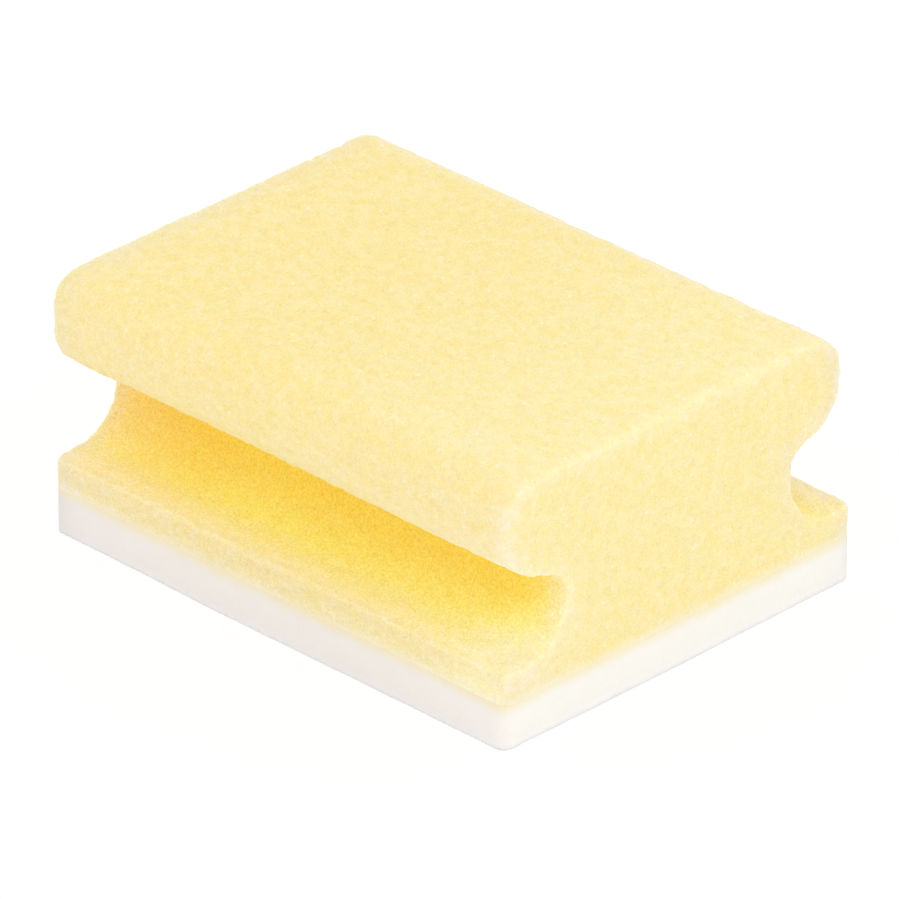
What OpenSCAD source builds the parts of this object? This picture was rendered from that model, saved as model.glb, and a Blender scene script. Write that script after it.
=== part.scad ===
// Cleaning sponge with a finger groove along both long sides.
// A bar of soft foam is contour cut to a head, a neck and a flange, and a thin
// scouring pad is laminated under the flange. +X runs along the grooves, +Y across
// them and +Z up. The origin is the middle of the pad's underside.

/* [Foam bar] */
// Length of the sponge, along the finger grooves
body_length = 90; // [50:1:160]
// Width of the sponge over its flange and pad
body_width = 70; // [64:1:110]
// Height of the foam, from the pad's upper face to the top of the head
foam_h = 33.7; // [30:0.1:60]
// Thickness of the flange that backs the pad
flange_t = 4.9; // [3:0.1:8]
// Radius of the upright corners of the flange and the pad
corner_r = 1.5; // [0.5:0.25:5]

/* [Head] */
// How far each side of the head stands in from the side of the flange
head_inset = 1.5; // [1.5:0.25:3]
// How far the head leans off the middle, as the foam was cut
head_lean = -1.5; // [-1.5:0.25:1.5]
// Height of the head's sides, with both of their rounded edges
head_t = 15.7; // [14:0.1:18]
// Radius of the head's top edges
top_r = 6; // [2:0.5:7]
// Radius of the head's lower edges
lower_r = 8; // [4:0.5:9]
// Slope of the head's underside, which falls towards the neck, in degrees
underside_slope = 20; // [10:1:30]

/* [Finger grooves] */
// Depth of each groove, from the side of the flange to the neck
groove_depth = 12.5; // [10.5:0.5:18]
// Radius of the tight curve from the underside into the neck
throat_r = 3; // [1.5:0.25:4]
// Radius of the wide curve from the neck down to the flange
cove_r = 8.4; // [3:0.1:9]

/* [Scouring pad] */
// Thickness of the pad
pad_t = 7.1; // [3:0.1:12]

/* [Hidden] */
$fn = 96;

// Heights above the pad's underside
top_z = pad_t + foam_h;
flange_z = pad_t + flange_t;
top_centre_z = top_z - top_r;

// The lower edge's radius is limited by the height of the head's side
lower_edge_r = min(lower_r, head_t - top_r);
lower_centre_z = top_z - head_t + lower_edge_r;

// Half the neck's width
neck_half = body_width / 2 - groove_depth;

// How far fillets reach into the foam that they join, and cutters past the foam they cut
overlap = 1;

// Direction out of the sloping underside, square to it
slope_normal = [sin(underside_slope), -cos(underside_slope)];

// The +Y and the -Y half of the section. The functions below take one of them as side,
// and give each point as its distance from the middle and its height.
sides = [1, -1];

// Half the width of the head on one side
function head_half(side) = body_width / 2 - head_inset + side * head_lean;

// Centre of the head's top rounded edge
function top_centre(side) = [head_half(side) - top_r, top_centre_z];

// Centre of the head's lower rounded edge
function lower_centre(side) = [head_half(side) - lower_edge_r, lower_centre_z];

// Where that rounded edge ends and the straight underside begins
function underside_end(side) = lower_centre(side) + lower_edge_r * slope_normal;

// Height of the sloping underside at a distance y from the middle
function underside_z(side, y) =
    underside_end(side)[1] - (underside_end(side)[0] - y) * tan(underside_slope);

// Centre of the throat's curve, which touches both the underside and the neck
function throat_centre(side) =
    let (y = neck_half + throat_r)
    [y, underside_z(side, y) - throat_r / cos(underside_slope)];

// The cove is limited by the height of the neck and by the groove's depth
function cove_radius(side) = min(cove_r, groove_depth, throat_centre(side)[1] - flange_z);

// One side of the section's outline, from the flange up to the head, with sharp corners
function outline_half(side) =
    let (half = head_half(side))
    [
        [body_width / 2, pad_t],
        [body_width / 2, flange_z],
        [neck_half, flange_z],
        [neck_half, underside_z(side, neck_half)],
        [half, underside_z(side, half)],
        [half, top_z]
    ];

// The outline up one side and back down the other
function outline() =
    let (right = outline_half(1), left = outline_half(-1), last = len(left) - 1)
    concat(right, [for (i = [last:-1:0]) [-left[i][0], left[i][1]]]);

// Foam that the wide curve leaves in the corner between the neck and the flange
module cove_fillet(side) {
    r = cove_radius(side);
    difference() {
        translate([neck_half - overlap, flange_z - overlap])
            square(r + overlap);
        translate([neck_half + r, flange_z + r])
            circle(r = r);
    }
}

// Foam that the tight curve leaves in the corner between the neck and the underside
module throat_fillet(side) {
    centre = throat_centre(side);
    touch = centre - throat_r * slope_normal;
    difference() {
        polygon([
            centre,
            touch - overlap * slope_normal,
            [neck_half - overlap, touch[1]],
            [neck_half - overlap, centre[1]]
        ]);
        translate(centre)
            circle(r = throat_r);
    }
}

// Foam that is cut off the head's top corner to round it
module top_corner(side) {
    difference() {
        translate(top_centre(side))
            square(top_r + overlap);
        translate(top_centre(side))
            circle(r = top_r);
    }
}

// Foam that is cut off the head's lower corner to round it
module lower_corner(side) {
    centre = lower_centre(side);
    outside = head_half(side) + overlap;
    difference() {
        polygon([
            centre,
            underside_end(side) + overlap * slope_normal,
            [outside, underside_z(side, head_half(side)) - overlap],
            [outside, centre[1]]
        ]);
        translate(centre)
            circle(r = lower_edge_r);
    }
}

// Draws a shape on the +Y side of the section, or mirrored on the -Y side
module on_side(side) {
    mirror([1 - side, 0])
        children();
}

// The whole section of the foam, constant along the bar
module section() {
    difference() {
        union() {
            polygon(outline());
            for (side = sides)
                on_side(side) {
                    cove_fillet(side);
                    throat_fillet(side);
                }
        }
        for (side = sides)
            on_side(side) {
                top_corner(side);
                lower_corner(side);
            }
    }
}

// Outline of the sponge seen from above, with its small rounded corners
module plan_outline() {
    x = body_length / 2 - corner_r;
    y = body_width / 2 - corner_r;
    square([body_length, 2 * y], center = true);
    square([2 * x, body_width], center = true);
    for (sx = [-1, 1], sy = [-1, 1])
        translate([sx * x, sy * y])
            circle(r = corner_r);
}

module foam_body() {
    color([0.99, 0.92, 0.64])
        intersection() {
            rotate([90, 0, 90])
                translate([0, 0, -body_length / 2 - overlap])
                    linear_extrude(body_length + 2 * overlap)
                        section();
            translate([0, 0, pad_t])
                linear_extrude(foam_h)
                    plan_outline();
        }
}

module scouring_pad() {
    color([0.96, 0.94, 0.92])
        linear_extrude(pad_t)
            plan_outline();
}

foam_body();
scouring_pad();
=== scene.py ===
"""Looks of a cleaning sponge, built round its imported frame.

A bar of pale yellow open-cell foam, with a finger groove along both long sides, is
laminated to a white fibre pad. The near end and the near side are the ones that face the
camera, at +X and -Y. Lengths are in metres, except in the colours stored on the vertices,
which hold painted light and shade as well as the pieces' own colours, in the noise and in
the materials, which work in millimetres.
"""

import itertools
import math
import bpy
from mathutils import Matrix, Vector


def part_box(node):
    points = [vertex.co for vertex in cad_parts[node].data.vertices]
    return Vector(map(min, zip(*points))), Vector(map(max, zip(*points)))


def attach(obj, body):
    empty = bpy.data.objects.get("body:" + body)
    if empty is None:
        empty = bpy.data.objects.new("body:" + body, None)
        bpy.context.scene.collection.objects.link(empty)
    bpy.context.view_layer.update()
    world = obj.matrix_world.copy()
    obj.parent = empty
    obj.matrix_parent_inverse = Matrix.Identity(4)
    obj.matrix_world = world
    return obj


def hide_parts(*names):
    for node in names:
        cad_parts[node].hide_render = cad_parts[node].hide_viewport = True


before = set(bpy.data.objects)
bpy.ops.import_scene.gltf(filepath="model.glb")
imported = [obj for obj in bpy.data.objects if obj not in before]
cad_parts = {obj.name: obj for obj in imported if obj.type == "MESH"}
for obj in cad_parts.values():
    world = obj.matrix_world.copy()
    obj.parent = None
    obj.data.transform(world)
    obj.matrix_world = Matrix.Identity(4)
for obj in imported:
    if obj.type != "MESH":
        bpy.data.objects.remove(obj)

from types import SimpleNamespace

import bmesh
import bpy
import numpy as np
from mathutils import Vector
from mathutils.kdtree import KDTree

MM = 0.001
WHITE = (1.0, 1.0, 1.0, 1.0)

# Camera: a long lens, fitted to the straight edges in the photograph. The target is a point
# in the sponge, seen these pixels to the right of and above the middle of the image.
IMAGE_PX = 899
AZIMUTH = math.radians(44.82)
ELEVATION = math.radians(28.85)
DISTANCE = 1.907
PX_PER_MM = 7.0982
SENSOR_MM = 36.0
TARGET = Vector((0.0, 0.0, 20 * MM))
TARGET_RIGHT_PX = 1.97
TARGET_UP_PX = 20.33

# Studio light: a white surround, which swings round its middle strength up to its brightest
# side, and one large lamp
SKY_TOWARDS = Vector((0.44, -0.32, 0.84)).normalized()
SKY_MIDDLE = 1.025
SKY_SWING = 0.15
LAMP_PLACE = Vector((0.9, -0.5, 0.7))
LAMP_SIZE = 0.6
LAMP_WATTS = 0.7

# Floor: its gap keeps it apart from the pad's underside, which is flat too, and its glow is
# the share of it that the camera sees as plain white
FLOOR_RADIUS = 1.5
FLOOR_GAP = 0.05 * MM
FLOOR_WHITE = 0.97
FLOOR_GLOW = 0.85

# Mesh of the soft pieces. Flat faces are stretched by the skirt, and trimmed off again
# once the mesh is relaxed, so that they keep a sharp rim.
VOXEL = 0.5 * MM
RELAX_ROUNDS = 8
SKIRT = 3 * MM
WELD_GAP = 0.001 * MM
LEVEL_GAP = 0.01 * MM
CUT_GAP = 0.02 * MM

# Height beside the joint over which small relief fades out, so that both pieces are flush
CALM_HEIGHT = 1.5 * MM

# Sideways lean of the cut head, which changes along the bar, and the shares of the foam's
# height between which it builds up
HEAD_SKEW = 0.37 * MM
SKEW_HEIGHTS = (0.25, 0.875)

# Wear: how much an edge has lost where it counts as fully worn, how strongly it counts once
# it has spread, and the rounds of smoothing by which wear and the stored colours, painted
# light and shade included, spread over the mesh
WORN_THROUGH = 0.25 * MM
WEAR_GAIN = 2.0
WEAR_ROUNDS = 14
COLOUR_ROUNDS = 12

# Height of the fine relief that the materials show, and how far light spreads under them
BUMP_HEIGHT = 0.15 * MM
FOAM_GLOW_DEPTH = 3 * MM
PAD_GLOW_DEPTH = 1.5 * MM

# Painted light on the foam towards the near end, which takes more light and lets it into the
# open end of the near groove: on its outside and the shallow part of the near groove, on the
# deep part of that groove, and in the groove's last millimetres
LEMON_LIGHT_COLOUR = np.array((0.93, 0.88, 0.56))
GOLD_LIGHT_COLOUR = np.array((1.00, 0.93, 0.38))
GROOVE_END_LIGHT_COLOUR = np.array((0.87, 0.775, 0.47))

# Colours of the foam elsewhere: its own colour outside the grooves; cream, a painted highlight
# on worn edges; painted shade beside the edges of the far end and the far side; and painted
# shade along the flange's upper edges
FOAM_COLOUR = np.array((0.863, 0.716, 0.320))
CREAM_HIGHLIGHT_COLOUR = np.array((0.85, 0.77, 0.64))
RIM_SHADE_COLOUR = np.array((0.70, 0.65, 0.51))
FLANGE_EDGE_SHADE_COLOUR = np.array((0.79, 0.64, 0.305))

# Painted shade of the grooves, from the side of the flange, 0, in to the neck, 1: the orange
# deepens where less light gets in, and the paler stops near the flange are painted light
# against the shade that the head casts there
GROOVE_DEPTHS = (0.0, 0.07, 0.17, 0.6, 1.0)
GROOVE_SHADE_COLOURS = np.array((
    (0.84, 0.71, 0.375),
    (0.92, 0.85, 0.54),
    (0.955, 0.89, 0.485),
    (1.00, 0.86, 0.21),
    (1.00, 0.695, 0.10),
))

# Painted shade: tints of the groove on the far side and of both grooves at the far end,
# which get less light
FAR_GROOVE_SHADE_TINT = np.array((0.96, 0.94, 1.08))
FAR_END_SHADE_TINT = np.array((1.0, 0.95, 0.95))

# Reach of the painted light and shade: how far the near end's painted light goes along the
# bar, how high above the flange the grooves' painted shade ends, and how wide and strong the
# painted shade beside the far edges is
NEAR_LIGHT_REACH_MM = 55
GROOVE_TOP_MM = (14, 17.5)
RIM_SHADE_WIDTH = 2.0 * MM
RIM_SHADE_SHARE = 0.75

# Direction in which the foam's grain is drawn out, and how far
GRAIN = np.array((1.0, -1.0, 0.0)) / math.sqrt(2)
GRAIN_STRETCH = 1.4

# Colours of the pad: its own colour on its ends, painted shade on its long sides, and painted
# shade beside its far edges
PAD_COLOUR = np.array((0.86, 0.85, 0.805))
PAD_SIDE_SHADE_COLOUR = np.array((0.804, 0.767, 0.739))
PAD_RIM_SHADE_COLOUR = np.array((0.62, 0.605, 0.58))

# Joint, in millimetres: how far below and above it the two colours cross over, and how
# ragged that line is
JOINT_BELOW_MM = 2.3
JOINT_ABOVE_MM = 2.0
JOINT_RAGGED_MM = 0.9

# Seeded noise: rows of random numbers, and factors that scatter the cells over them
HASH_ROWS = 8192
HASH_FACTORS = (73856093, 19349663, 83492791)


# Camera, light and floor


def add_object(name, data):
    """A new object in the scene, for a mesh, a lamp or a camera."""
    obj = bpy.data.objects.new(name, data)
    bpy.context.scene.collection.objects.link(obj)
    return obj


def point_along(obj, place, direction):
    """Puts a camera or a lamp at a place and turns it to look along a direction."""
    obj.location = place
    obj.rotation_mode = "QUATERNION"
    obj.rotation_quaternion = direction.to_track_quat("-Z", "Y")


def camera_axes():
    """Directions to the camera, to the image's right and to its top."""
    back = Vector((
        math.sin(AZIMUTH) * math.cos(ELEVATION),
        -math.cos(AZIMUTH) * math.cos(ELEVATION),
        math.sin(ELEVATION),
    ))
    right = Vector((math.cos(AZIMUTH), math.sin(AZIMUTH), 0.0))
    return back, right, back.cross(right)


def make_camera():
    """A camera that frames the sponge as the photograph does."""
    back, right, up = camera_axes()
    px_size = MM / PX_PER_MM
    aim = TARGET - right * (TARGET_RIGHT_PX * px_size) - up * (TARGET_UP_PX * px_size)
    data = bpy.data.cameras.new("camera")
    data.sensor_width = SENSOR_MM
    data.lens = PX_PER_MM * DISTANCE / MM * SENSOR_MM / IMAGE_PX
    data.clip_start = 0.05
    data.clip_end = 20.0
    camera = add_object("camera", data)
    point_along(camera, aim + back * DISTANCE, -back)
    bpy.context.scene.camera = camera


def make_lamp():
    """A large lamp that lights the near end a little more than the near side."""
    data = bpy.data.lights.new("key", "AREA")
    data.shape = "SQUARE"
    data.size = LAMP_SIZE
    data.energy = LAMP_WATTS
    point_along(add_object("key", data), LAMP_PLACE, TARGET - LAMP_PLACE)


def make_world():
    """A surround that is plain white to the camera, and a soft gradient for light."""
    world = bpy.data.worlds.new("studio")
    tree = empty_tree(world)
    direction = new_node(tree, "TexCoord", {}).outputs["Generated"]
    facing = vector_math(tree, "DOT_PRODUCT", direction, tuple(SKY_TOWARDS))
    strength = value_math(tree, "MULTIPLY_ADD", facing, SKY_SWING, SKY_MIDDLE)
    light = new_node(tree, "Background", {"Color": WHITE, "Strength": strength})
    white = new_node(tree, "Background", {"Color": WHITE, "Strength": 1.0})
    show_camera(tree, 1.0, light, white, "OutputWorld")
    bpy.context.scene.world = world


def make_floor():
    """A white disc that keeps the sponge's shadow but melts into the white surround."""
    mesh = bpy.data.meshes.new("floor")
    bm = bmesh.new()
    bmesh.ops.create_circle(bm, cap_ends=True, segments=96, radius=FLOOR_RADIUS)
    bmesh.ops.translate(bm, verts=bm.verts, vec=(0, 0, -FLOOR_GAP))
    bm.to_mesh(mesh)
    bm.free()
    floor = add_object("floor", mesh)
    material = bpy.data.materials.new("floor")
    tree = empty_tree(material)
    diffuse = new_node(tree, "BsdfDiffuse", {"Color": (FLOOR_WHITE, FLOOR_WHITE, FLOOR_WHITE, 1)})
    glow = new_node(tree, "Emission", {"Color": WHITE, "Strength": 1.0})
    show_camera(tree, FLOOR_GLOW, diffuse, glow, "OutputMaterial")
    mesh.materials.append(material)


# Shader nodes


def empty_tree(owner):
    """The node tree of a material or world, without its first nodes."""
    owner.use_nodes = True
    owner.node_tree.nodes.clear()
    return owner.node_tree


def plug(tree, socket, value):
    """Links another node's output to a socket, or sets the socket to a value."""
    if isinstance(value, bpy.types.NodeSocket):
        tree.links.new(value, socket)
    else:
        socket.default_value = value


def new_node(tree, kind, inputs, **options):
    """A new shader node, with its inputs plugged by name and its options set."""
    node = tree.nodes.new("ShaderNode" + kind)
    for name, value in options.items():
        setattr(node, name, value)
    for name, value in inputs.items():
        plug(tree, node.inputs[name], value)
    return node


def show_camera(tree, share, for_light, for_camera, output):
    """Outputs a shader, with a share of another one mixed in for the camera's own rays."""
    seen = new_node(tree, "LightPath", {}).outputs["Is Camera Ray"]
    mix = new_node(tree, "MixShader", {})
    plug(tree, mix.inputs[0], value_math(tree, "MULTIPLY", seen, share))
    plug(tree, mix.inputs[1], for_light.outputs[0])
    plug(tree, mix.inputs[2], for_camera.outputs[0])
    new_node(tree, output, {"Surface": mix.outputs[0]})


def value_math(tree, operation, *values):
    """The result of one operation on numbers."""
    node = new_node(tree, "Math", {}, operation=operation)
    for socket, value in zip(node.inputs, values):
        plug(tree, socket, value)
    return node.outputs[0]


def vector_math(tree, operation, *values):
    """The result of one operation on vectors, which is a number for a dot product."""
    node = new_node(tree, "VectorMath", {}, operation=operation)
    for socket, value in zip(node.inputs, values):
        plug(tree, socket, value)
    return node.outputs["Value" if operation == "DOT_PRODUCT" else "Vector"]


def mix_colours(tree, share, first, second, blend="MIX"):
    """A colour between two others, each a colour output or an RGB tuple."""
    node = new_node(tree, "Mix", {}, data_type="RGBA", blend_type=blend)
    plug(tree, node.inputs["Factor"], share)
    for name, colour in (("A", first), ("B", second)):
        socket = [i for i in node.inputs if i.name == name and i.type == "RGBA"][0]
        plug(tree, socket, colour if isinstance(colour, bpy.types.NodeSocket) else (*colour, 1))
    return [o for o in node.outputs if o.type == "RGBA"][0]


def tinted(tree, colour, tint):
    """A colour multiplied by a tint."""
    return mix_colours(tree, 1.0, colour, tint, "MULTIPLY")


def ramp(tree, value, low, high):
    """A smooth rise from 0 to 1 while a value goes from low to high."""
    node = new_node(
        tree, "MapRange", {"Value": value, "From Min": low, "From Max": high},
        interpolation_type="SMOOTHSTEP",
    )
    return node.outputs["Result"]


def millimetres(tree):
    """The shaded point in the object's own frame, in millimetres."""
    place = new_node(tree, "TexCoord", {}).outputs["Object"]
    node = new_node(tree, "VectorMath", {"Scale": 1 / MM}, operation="SCALE")
    plug(tree, node.inputs[0], place)
    return node.outputs["Vector"]


def height_of(tree, place):
    """The height of a point in millimetres."""
    return new_node(tree, "SeparateXYZ", {"Vector": place}).outputs["Z"]


def noise(tree, place, size, detail=2.0, roughness=0.5):
    """Noise from 0 to 1, with features of a size in millimetres."""
    node = new_node(tree, "TexNoise", {
        "Vector": place, "Scale": 1 / size, "Detail": detail, "Roughness": roughness,
    })
    return node.outputs["Fac"]


def grain_place(tree, place):
    """The same squeeze along the foam's grain as along_grain, as nodes."""
    along = vector_math(tree, "DOT_PRODUCT", place, tuple(GRAIN))
    shift = new_node(tree, "VectorMath", {"Scale": along}, operation="SCALE")
    shift.inputs[0].default_value = tuple((1 - 1 / GRAIN_STRETCH) * GRAIN)
    return vector_math(tree, "SUBTRACT", place, shift.outputs["Vector"])


def spots(tree, place, spacing, radius, amount):
    """Soft round spots in an amount of the cells, spacing and radius in millimetres."""
    cells = new_node(tree, "TexVoronoi", {"Vector": place, "Scale": 1 / spacing})
    disc = ramp(tree, cells.outputs["Distance"], radius / spacing, 0.4 * radius / spacing)
    chance = new_node(tree, "SeparateColor", {"Color": cells.outputs["Color"]}).outputs["Red"]
    chosen = value_math(tree, "LESS_THAN", chance, amount)
    return value_math(tree, "MULTIPLY", disc, chosen)


def varied(tree, colour, share, contrast, dull, light):
    """A colour multiplied by a dull tint at low noise and by a light tint at high noise."""
    share = value_math(tree, "SUBTRACT", share, 0.5)
    share = value_math(tree, "MULTIPLY_ADD", share, contrast, 0.5)
    return tinted(tree, colour, mix_colours(tree, share, dull, light))


def attribute(tree, name, output="Fac"):
    """A value or colour that is stored on the mesh's vertices."""
    return new_node(tree, "Attribute", {}, attribute_name=name).outputs[output]


def bump_of(tree, height, strength):
    """The surface's normal, tilted by the fine relief of a height map."""
    node = new_node(tree, "Bump", {
        "Height": height, "Strength": strength, "Distance": BUMP_HEIGHT,
    })
    return node.outputs["Normal"]


def set_shader(tree, inputs):
    """Sets inputs of the material's own shader to values or to other nodes' outputs."""
    shader = tree.nodes["Principled BSDF"]
    for name, value in inputs.items():
        plug(tree, shader.inputs[name], value)


# Mesh work on the soft pieces


def solid_copy(node, name):
    """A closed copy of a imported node, as an object of its own."""
    bm = bmesh.new()
    bm.from_mesh(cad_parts[node].data)
    bmesh.ops.remove_doubles(bm, verts=bm.verts, dist=WELD_GAP)
    mesh = bpy.data.meshes.new(name)
    bm.to_mesh(mesh)
    bm.free()
    return add_object(name, mesh)


def stretch(obj, level, by):
    """Moves the flat face at a height up or down, so that it can be trimmed later."""
    for vertex in obj.data.vertices:
        if abs(vertex.co.z - level) < LEVEL_GAP:
            vertex.co.z += by


def voxel_mesh(obj, voxel):
    """Turns the object's mesh into even quads of the voxel's size."""
    modifier = obj.modifiers.new("voxels", "REMESH")
    modifier.mode = "VOXEL"
    modifier.voxel_size = voxel
    graph = bpy.context.evaluated_depsgraph_get()
    mesh = bpy.data.meshes.new_from_object(obj.evaluated_get(graph))
    obj.modifiers.clear()
    obj.data = mesh


def points_of(mesh):
    """The vertices' places as rows of an array."""
    points = np.empty(len(mesh.vertices) * 3)
    mesh.vertices.foreach_get("co", points)
    return points.reshape(-1, 3)


def set_points(mesh, points):
    """Moves the vertices to new places."""
    mesh.vertices.foreach_set("co", np.ascontiguousarray(points, np.float32).ravel())
    mesh.update()


def edges_of(mesh):
    """The numbers of each edge's two vertices as rows of an array."""
    edges = np.empty(len(mesh.edges) * 2, np.int64)
    mesh.edges.foreach_get("vertices", edges)
    return edges.reshape(-1, 2)


def normals_of(mesh):
    """The vertices' normals as rows of an array."""
    normals = np.empty(len(mesh.vertices) * 3)
    mesh.vertex_normals.foreach_get("vector", normals)
    return normals.reshape(-1, 3)


def set_attribute(mesh, name, values):
    """Stores one number on each vertex."""
    layer = mesh.attributes.new(name, "FLOAT", "POINT")
    layer.data.foreach_set("value", np.ascontiguousarray(values, np.float32).ravel())


def set_colour(mesh, name, colours):
    """Stores one colour on each vertex."""
    layer = mesh.attributes.new(name, "FLOAT_COLOR", "POINT")
    rows = np.column_stack([colours, np.ones(len(colours))])
    layer.data.foreach_set("color", np.ascontiguousarray(rows, np.float32).ravel())


def relaxed(values, edges, rounds, share=0.5):
    """Moves each vertex's value towards the mean of its neighbours' values."""
    count = np.bincount(edges.ravel(), minlength=len(values))[:, None]
    for _ in range(rounds):
        total = np.zeros_like(values)
        for column in range(values.shape[1]):
            total[:, column] = np.bincount(
                edges[:, 0], values[edges[:, 1], column], len(values)
            ) + np.bincount(edges[:, 1], values[edges[:, 0], column], len(values))
        values = values + share * (total / count - values)
    return values


def soften(obj):
    """Remeshes a piece and rounds its edges. Returns its points before and after rounding."""
    voxel_mesh(obj, VOXEL)
    mesh = obj.data
    square = points_of(mesh)
    points = relaxed(square, edges_of(mesh), RELAX_ROUNDS)
    set_points(mesh, points)
    return square, points


def trim(obj, level, keep_above):
    """Cuts the mesh off flat at a height, with a sharp rim, and closes the cut."""
    bm = bmesh.new()
    bm.from_mesh(obj.data)
    cut = bmesh.ops.bisect_plane(
        bm,
        geom=bm.verts[:] + bm.edges[:] + bm.faces[:],
        dist=CUT_GAP,
        plane_co=(0, 0, level),
        plane_no=(0, 0, 1),
        clear_inner=keep_above,
        clear_outer=not keep_above,
    )
    rim = [g for g in cut["geom_cut"] if isinstance(g, bmesh.types.BMEdge)]
    bmesh.ops.contextual_create(bm, geom=rim)
    bmesh.ops.recalc_face_normals(bm, faces=bm.faces)
    for face in bm.faces:
        face.smooth = True
    for edge in rim:
        edge.smooth = False
    bm.to_mesh(obj.data)
    bm.free()


# Shares and seeded noise, as arrays


def eased(share):
    """A share from 0 to 1, with a soft start and a soft end."""
    return share * share * (3 - 2 * share)


def smooth_step(values, low, high):
    """A smooth rise from 0 to 1 while the values go from low to high."""
    return eased(np.clip((values - low) / (high - low), 0, 1))


def fade(values, low, high):
    """A smooth fall from 1 to 0 while the values go from low to high."""
    return 1 - smooth_step(values, low, high)


def blend(first, second, share):
    """A row by row mix of two sets of colours."""
    return first + np.clip(share, 0, 1)[:, None] * (second - first)


def hashed(cells, seed, count):
    """Repeatable random rows, of a count of numbers, for whole-numbered cells."""
    table = np.random.default_rng(seed).uniform(0, 1, (HASH_ROWS, count))
    x, y, z = (cells * HASH_FACTORS).T
    return table[(x ^ y ^ z) % HASH_ROWS]


def smooth_noise(points, size, seed):
    """Noise from -1 to 1, with features of a size."""
    cell = np.floor(points / size).astype(np.int64)
    share = eased(points / size - cell)
    total = np.zeros(len(points))
    for corner in itertools.product((0, 1), repeat=3):
        weight = np.prod(np.where(corner, share, 1 - share), axis=1)
        total += weight * hashed(cell + corner, seed, 1)[:, 0]
    return 2 * total - 1


def pits(points, spacing, radius, seed):
    """Depth, from 0 to 1, of soft round pits scattered one to a cell."""
    cell = np.floor(points / spacing).astype(np.int64)
    depth = np.zeros(len(points))
    for step in itertools.product((-1, 0, 1), repeat=3):
        near = cell + step
        random = hashed(near, seed, 4)
        gap = np.linalg.norm(points - (near + random[:, :3]) * spacing, axis=1)
        reach = radius * (0.6 + 0.4 * random[:, 3])
        depth = np.maximum(depth, 1 - (gap / reach) ** 2)
    return depth


def along_grain(points):
    """Squeezes points along the grain, so that noise read there is drawn out along it."""
    along = points @ GRAIN
    return points - (1 - 1 / GRAIN_STRETCH) * along[:, None] * GRAIN


def hand_cut(points):
    """Slow waves of the cut sides, shared by both pieces so that they stay flush."""
    return (
        0.10 * smooth_noise(points, size=13, seed=3)
        + 0.16 * smooth_noise(points, size=34, seed=4)
    )


def painted_rim_shade(points, normals):
    """Share of painted shade, a grey, 0 to 1, beside the edges of the far end and the far long
    side.
    """
    backwards = np.maximum(-normals[:, 0], normals[:, 1])
    behind = points[backwards > 0.7]
    tree = KDTree(len(behind))
    for number, point in enumerate(behind):
        tree.insert(point, number)
    tree.balance()
    gap = np.array([tree.find(point)[2] for point in points])
    return RIM_SHADE_SHARE * np.exp(-gap / RIM_SHADE_WIDTH) * fade(backwards, 0.65, 0.95)


# Colour of the foam, with painted light and shade


def foam_places(points, normals):
    """Where each vertex is on the bar: lengths in millimetres, and shares from 0 to 1.

    The neck is measured in the bar's middle half. The flange's top is measured beside the
    far side, from which the head stands in.
    """
    low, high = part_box("foam_body")
    upright = (np.abs(normals[:, 1]) > 0.98) & (np.abs(points[:, 0]) < high.x / 2)
    neck = np.abs(points[upright, 1]).min()
    flange_top = points[points[:, 1] > high.y - MM, 2].max()

    at = SimpleNamespace(
        from_near_end=(high.x - points[:, 0]) / MM,
        from_far_end=(points[:, 0] - low.x) / MM,
        from_near_side=(points[:, 1] - low.y) / MM,
        above_flange=(points[:, 2] - flange_top) / MM,
        inward=np.clip((high.y - np.abs(points[:, 1])) / (high.y - neck), 0, 1),
        endways=normals[:, 0],
        sideways=np.abs(normals[:, 1]),
        upward=normals[:, 2],
    )
    # Reach of the near end's painted light
    at.near = fade(at.from_near_end, 0, NEAR_LIGHT_REACH_MM)
    at.far_side = smooth_step(points[:, 1] / MM, 5, 15)
    at.flange_side = at.sideways * fade(at.above_flange, 0.5, 2)
    at.in_groove = fade(np.abs(at.endways), 0.2, 0.9) * fade(at.above_flange, *GROOVE_TOP_MM)
    return at


def groove_shade_colours(at):
    """Painted shade of the grooves, whose colours deepen towards the neck as less light gets in.

    The head's shaded underside goes straight from the outer colour to the deepest one.
    """
    colour = np.stack([
        np.interp(at.inward, GROOVE_DEPTHS, channel) for channel in GROOVE_SHADE_COLOURS.T
    ], axis=1)
    underside = blend(FOAM_COLOUR + 0 * colour, GROOVE_SHADE_COLOURS[-1], at.inward)
    colour = blend(colour, underside, smooth_step(-at.upward, 0.0, 0.5))
    # Further painted shade at the far end and on the far side
    far_end_shade = smooth_step(at.inward, 0.05, 0.25) * fade(at.from_far_end, 10, 35)
    colour = blend(colour, colour * FAR_END_SHADE_TINT, far_end_shade)
    return blend(colour, colour * FAR_GROOVE_SHADE_TINT, at.far_side)


def near_light_share(at):
    """Share of painted light, a paler yellow, where the near groove runs out to the near end.

    It sets in 17 mm from the end where the groove is shallow, and 10 mm where it is deep.
    A weaker share reaches 50 mm along the shallow part.
    """
    deep = np.clip((at.inward - 0.6) / 0.4, 0, 1)
    share = fade(at.from_near_end, 1 - 3 * deep, 17 - 7 * deep) * (1 - 0.45 * deep)
    share += 0.3 * fade(at.from_near_end, 5, 50) * (1 - deep)
    return at.in_groove * share * (1 - 0.9 * at.far_side) * (1 - 0.5 * at.flange_side)


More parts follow.
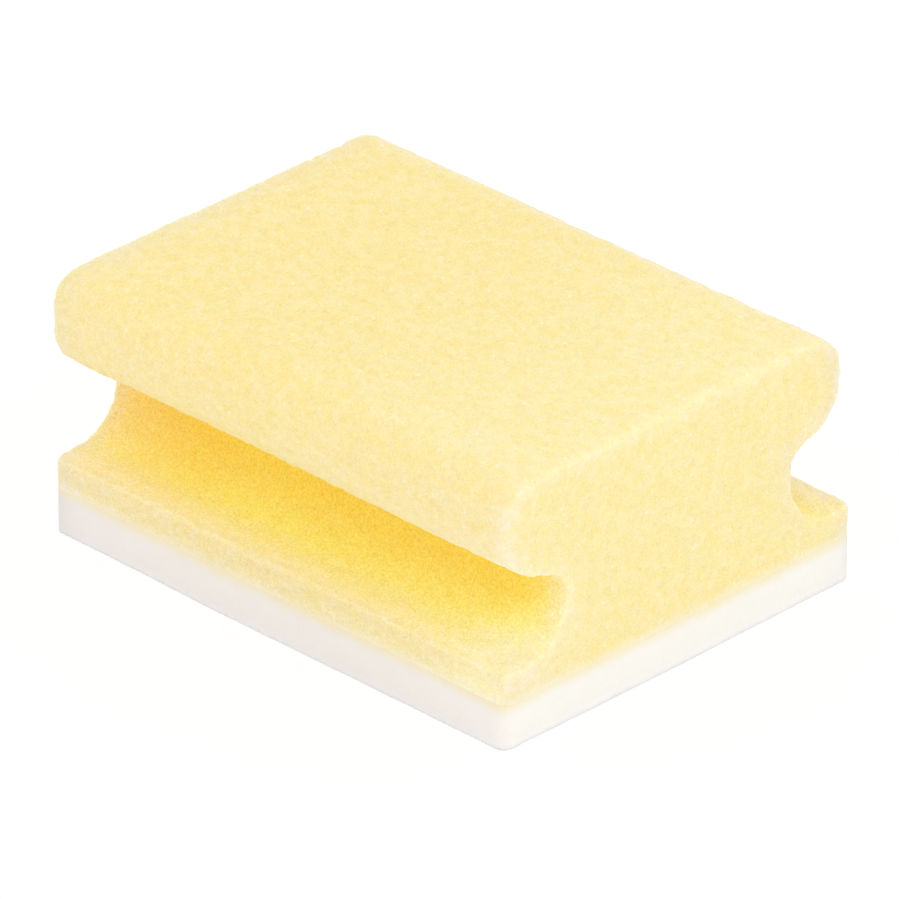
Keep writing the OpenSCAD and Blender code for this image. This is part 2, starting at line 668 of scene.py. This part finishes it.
def cream_highlight_share(at, worn):
    """Share of cream: a painted highlight on worn edges towards the near end, and paler colour on
    outer sides and corners.

    The corners are low on the near end and in the far ends of the grooves.
    """
    upright = fade(at.upward, 0.1, 0.5) * smooth_step(at.above_flange, 1, 6)
    edge = worn * (0.3 + 0.5 * upright - 0.2 * at.flange_side)
    edge *= 1 - at.in_groove * smooth_step(at.inward, 0.2, 0.5)
    near_corner = fade(at.from_near_side, 0, 19) * fade(at.above_flange, 3, 14)
    return (
        edge * at.near
        + 0.42 * near_corner * smooth_step(at.endways, 0.3, 0.9)
        + 0.12 * at.in_groove * fade(at.from_far_end, 5, 20)
        + 0.08 * at.sideways * (1 - at.in_groove) * (1 + fade(at.from_far_end, 0, 45))
    )


def flange_edge_shade_share(at, worn):
    """Share of painted shade, a darker yellow, along the flange's upper edges, against the light
    that their rounding catches.
    """
    along = smooth_step(at.above_flange, -1.7, -0.7) * fade(at.above_flange, 0, 0.6)
    along *= fade(at.upward, 0.92, 0.99)
    return along * worn * fade(np.abs(at.endways), 0.3, 0.8)


def foam_colour_and_painted_light(points, normals, worn):
    """Colour of each vertex, and how strongly the grooves' grain shows there, 0 to 1."""
    at = foam_places(points, normals)
    # Painted shade in the grooves
    colour = blend(FOAM_COLOUR + 0 * points, groove_shade_colours(at), at.in_groove)

    # Painted light towards the near end: in the near groove, and outside it except on the long
    # sides
    near_light = near_light_share(at)
    outside_light = 0.22 * at.near * (1 - at.in_groove) * (1 - at.sideways)
    golden = at.in_groove * smooth_step(at.inward, 0.5, 0.9)
    light_colour = blend(LEMON_LIGHT_COLOUR + 0 * points, GOLD_LIGHT_COLOUR, golden)
    colour = blend(colour, light_colour, near_light + outside_light)
    # Painted light in the near groove's last millimetres, which open onto the near end
    groove_end_light = at.in_groove * (1 - at.far_side) * fade(at.from_near_end, 0.5, 6)
    colour = blend(colour, GROOVE_END_LIGHT_COLOUR, 0.75 * groove_end_light)

    # Cream as a painted highlight on worn edges towards the near end; painted shade along the
    # flange's edges
    colour = blend(colour, CREAM_HIGHLIGHT_COLOUR, cream_highlight_share(at, worn))
    colour = blend(colour, FLANGE_EDGE_SHADE_COLOUR, flange_edge_shade_share(at, worn))
    # Painted shade beside the edges of the far end and the far side, weaker in the far groove
    far_cove = smooth_step(at.above_flange, -3, -0.5) * fade(at.above_flange, 6, 11)
    rim = painted_rim_shade(points, normals) * (1 - 0.6 * at.far_side * far_cove)
    colour = blend(colour, RIM_SHADE_COLOUR, rim)
    grainy = at.in_groove * (1 - 0.7 * np.clip(near_light, 0, 1)) * (0.35 + 0.65 * at.inward)
    return colour, grainy


# Foam


def skewed(points):
    """Leans the head to one side at one end of the bar and to the other at the other end."""
    low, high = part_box("foam_body")
    height = (points[:, 2] - low.z) / (high.z - low.z)
    points = points.copy()
    points[:, 1] += HEAD_SKEW * smooth_step(height, *SKEW_HEIGHTS) * points[:, 0] / high.x
    return points


def worn_share(mesh, square, points, normals):
    """How worn each vertex is, 0 to 1, from what its place lost when the mesh was relaxed."""
    lost = np.sum((square - points) * normals, axis=1)
    worn = np.clip(lost / WORN_THROUGH, 0, 1)
    spread = relaxed(worn[:, None], edges_of(mesh), WEAR_ROUNDS)[:, 0]
    return np.clip(WEAR_GAIN * spread, 0, 1)


def mark_foam(mesh, points, normals, worn):
    """Stores the foam's colours with their painted light and shade, how deep and fuzzy it is, and
    how far it faces an end, where pores get more painted shade, on its vertices.
    """
    edges = edges_of(mesh)
    colour_with_painted_light, depth = foam_colour_and_painted_light(points, normals, worn)
    set_colour(mesh, "colour_with_painted_light", relaxed(colour_with_painted_light, edges, COLOUR_ROUNDS))
    set_attribute(mesh, "depth", relaxed(depth[:, None], edges, rounds=6))
    set_attribute(mesh, "end_pore_shade", np.abs(relaxed(normals, edges, rounds=2)[:, 0]))
    set_attribute(mesh, "fuzz", (1 - depth) * fade(-normals[:, 2], 0.1, 0.6))


def foam_relief(points):
    """How far waves, lumps and pits move each vertex outwards, in millimetres."""
    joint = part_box("foam_body")[0].z
    place = points / MM
    grain = along_grain(place)
    rough = (
        0.12 * smooth_noise(grain, size=1.1, seed=1)
        + 0.05 * smooth_noise(grain, size=2.7, seed=2)
        - 0.16 * pits(grain, spacing=1.6, radius=0.8, seed=5)
    )
    return hand_cut(place) + rough * smooth_step(points[:, 2], joint, joint + CALM_HEIGHT)


def make_foam():
    """The foam bar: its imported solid, with worn edges, relief and a flat joint face."""
    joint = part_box("foam_body")[0].z
    foam = solid_copy("foam_body", "soft_foam")
    stretch(foam, joint, -SKIRT)
    square, points = soften(foam)
    mesh = foam.data
    normals = normals_of(mesh)
    mark_foam(mesh, points, normals, worn_share(mesh, square, points, normals))
    relief = foam_relief(points)
    set_points(mesh, skewed(points + normals * relief[:, None] * MM))
    trim(foam, joint, keep_above=True)
    mesh.materials.append(foam_material(joint / MM))
    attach(foam, "root")
    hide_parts("foam_body")


def joint_share(tree, place, joint):
    """How much a point belongs to the foam's side of the joint, 0 to 1, with a ragged line."""
    ragged = height_of(tree, place)
    for size in (6.0, 0.7):
        wave = noise(tree, place, size)
        wave = value_math(tree, "MULTIPLY_ADD", wave, JOINT_RAGGED_MM, -JOINT_RAGGED_MM / 2)
        ragged = value_math(tree, "ADD", ragged, wave)
    return ramp(tree, ragged, joint - JOINT_BELOW_MM, joint + JOINT_ABOVE_MM)


def glow_depth(tree, place, joint, depth):
    """Spread of light under the surface, which shrinks to nothing at the hidden joint faces."""
    away = value_math(tree, "SUBTRACT", height_of(tree, place), joint)
    share = ramp(tree, value_math(tree, "ABSOLUTE", away), 0.0, 2 * depth / MM)
    return value_math(tree, "MULTIPLY", share, depth)


def foam_grain(tree, grain, fine):
    """The stored colour, with its painted light and shade, varied by three sizes of noise and
    more strongly in the grooves.
    """
    depth = attribute(tree, "depth")
    dull = mix_colours(tree, depth, (0.955, 0.950, 0.965), (0.935, 0.905, 0.88))
    light = mix_colours(tree, depth, (1.035, 1.04, 1.035), (1.035, 1.06, 1.10))
    contrast = value_math(tree, "MULTIPLY_ADD", depth, 1.5, 2.5)
    colour = varied(tree, attribute(tree, "colour_with_painted_light", "Color"), fine, contrast, dull, light)
    mottle = noise(tree, grain, size=1.3, detail=0.0)
    colour = varied(tree, colour, mottle, 2.5, (0.995, 0.985, 0.90), (1.005, 1.015, 1.10))
    cloud = noise(tree, grain, size=3.5, detail=1.0)
    return varied(tree, colour, cloud, 2.0, (1.0, 0.995, 0.95), (1.0, 1.005, 1.05))


def foam_cells(tree, grain, colour, pores):
    """A colour with pale specks, painted glints of cell walls, and with pores in painted shade,
    which is darker in the grooves.
    """
    glints = spots(tree, grain, spacing=1.1, radius=0.36, amount=0.4)
    glint_colour = tinted(tree, colour, (1.03, 1.07, 1.33))
    colour = mix_colours(tree, value_math(tree, "MULTIPLY", glints, 0.8), colour, glint_colour)
    # Pores get painted shade in their hollows, more on the ends and in the grooves
    pore_shade_share = value_math(tree, "MULTIPLY_ADD", attribute(tree, "end_pore_shade"), 0.05, 0.15)
    pore_shade_share = value_math(tree, "MULTIPLY_ADD", attribute(tree, "depth"), 0.5, pore_shade_share)
    pore_shade = tinted(tree, colour, (0.94, 0.87, 0.78))
    return mix_colours(tree, value_math(tree, "MULTIPLY", pores, pore_shade_share), colour, pore_shade)


def foam_material(joint):
    """Matt, slightly translucent open-cell foam, which takes the pad's colour at the joint.

    The joint is given as its height in millimetres.
    """
    material = bpy.data.materials.new("yellow_foam")
    material.use_nodes = True
    tree = material.node_tree
    place = millimetres(tree)
    grain = grain_place(tree, place)
    fine = noise(tree, grain, size=0.30, detail=1.0)
    pores = spots(tree, grain, spacing=0.7, radius=0.25, amount=0.5)
    colour = foam_cells(tree, grain, foam_grain(tree, grain, fine), pores)
    colour = mix_colours(tree, joint_share(tree, place, joint), tuple(PAD_COLOUR), colour)
    height = value_math(tree, "SUBTRACT", fine, pores)
    set_shader(tree, {
        "Base Color": colour,
        "Normal": bump_of(tree, height, 0.35),
        "Roughness": 0.9,
        "Specular IOR Level": 0.1,
        "Sheen Weight": value_math(tree, "MULTIPLY", attribute(tree, "fuzz"), 0.5),
        "Sheen Roughness": 0.35,
        "Sheen Tint": (0.75, 0.75, 0.74, 1),
        "Subsurface Weight": 0.6,
        "Subsurface Radius": (1.0, 0.8, 0.4),
        "Subsurface Scale": glow_depth(tree, place, joint, FOAM_GLOW_DEPTH),
    })
    return material


# Pad


def pad_colour_and_painted_shade(points, normals):
    """Colour of each vertex of the pad, with painted shade on its long sides, lifted a little
    towards the near end, and beside its far edges.
    """
    near_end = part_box("scouring_pad")[1].x
    colour = blend(PAD_COLOUR + 0 * points, PAD_SIDE_SHADE_COLOUR, np.abs(normals[:, 1]))
    # Less painted shade towards the near end, which takes more light
    near = smooth_step(points[:, 0], near_end / 3, near_end)
    colour = blend(colour, PAD_COLOUR, 0.25 * near)
    # Painted shade beside the far edges
    rim = (0.5 + 0.6 * np.abs(normals[:, 1])) * painted_rim_shade(points, normals)
    return blend(colour, PAD_RIM_SHADE_COLOUR, rim)


def pad_relief(points):
    """How far waves and loose fibres move each vertex outwards, in millimetres."""
    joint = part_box("scouring_pad")[1].z
    place = points / MM
    rough = (
        0.03 * smooth_noise(place, size=1.0, seed=6)
        + 0.04 * smooth_noise(place, size=3.0, seed=7)
    )
    return hand_cut(place) + rough * fade(points[:, 2], joint - CALM_HEIGHT, joint)


def make_pad():
    """The scouring pad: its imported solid, with worn edges, relief and two flat faces."""
    low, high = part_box("scouring_pad")
    pad = solid_copy("scouring_pad", "fibre_pad")
    stretch(pad, high.z, SKIRT)
    stretch(pad, low.z, -SKIRT)
    _, points = soften(pad)
    mesh = pad.data
    normals = normals_of(mesh)
    set_colour(mesh, "colour_with_painted_light", pad_colour_and_painted_shade(points, normals))
    relief = pad_relief(points)
    set_points(mesh, points + normals * relief[:, None] * MM)
    trim(pad, high.z, keep_above=False)
    trim(pad, low.z, keep_above=True)
    mesh.materials.append(pad_material(high.z / MM))
    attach(pad, "root")
    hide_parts("scouring_pad")


def pad_material(joint):
    """Matt tangled fibres, with painted light near the floor against the shade there, and yellow
    at the joint's height, partly painted light from the foam.
    """
    material = bpy.data.materials.new("white_fleece")
    material.use_nodes = True
    tree = material.node_tree
    place = millimetres(tree)
    tangle = noise(tree, place, size=0.5, detail=4.0, roughness=0.7)
    cloud = noise(tree, place, size=3.5)
    floor_light = ramp(tree, height_of(tree, place), 1.6, 0.0)
    colour = attribute(tree, "colour_with_painted_light", "Color")
    colour = varied(tree, colour, tangle, 1.2, (0.975, 0.97, 0.965), (1.02, 1.02, 1.02))
    colour = varied(tree, colour, cloud, 1.5, (1.0, 0.98, 0.98), (1.0, 1.01, 1.01))
    colour = varied(tree, colour, floor_light, 1.0, (1, 1, 1), (1.05, 1.05, 1.07))
    # The joint's ragged line; the yellow on the pad is partly painted light from the foam
    colour = mix_colours(tree, joint_share(tree, place, joint), colour, tuple(FOAM_COLOUR))
    set_shader(tree, {
        "Base Color": colour,
        "Normal": bump_of(tree, tangle, 0.4),
        "Roughness": 0.95,
        "Specular IOR Level": 0.1,
        "Sheen Weight": 0.3,
        "Sheen Roughness": 0.35,
        "Sheen Tint": (0.7, 0.7, 0.7, 1),
        "Subsurface Weight": 0.5,
        "Subsurface Radius": (1.0, 0.95, 0.9),
        "Subsurface Scale": glow_depth(tree, place, joint, PAD_GLOW_DEPTH),
    })
    return material


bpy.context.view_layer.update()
bpy.context.scene.view_settings.view_transform = "Standard"

make_camera()
make_world()
make_lamp()
make_floor()
make_foam()
make_pad()
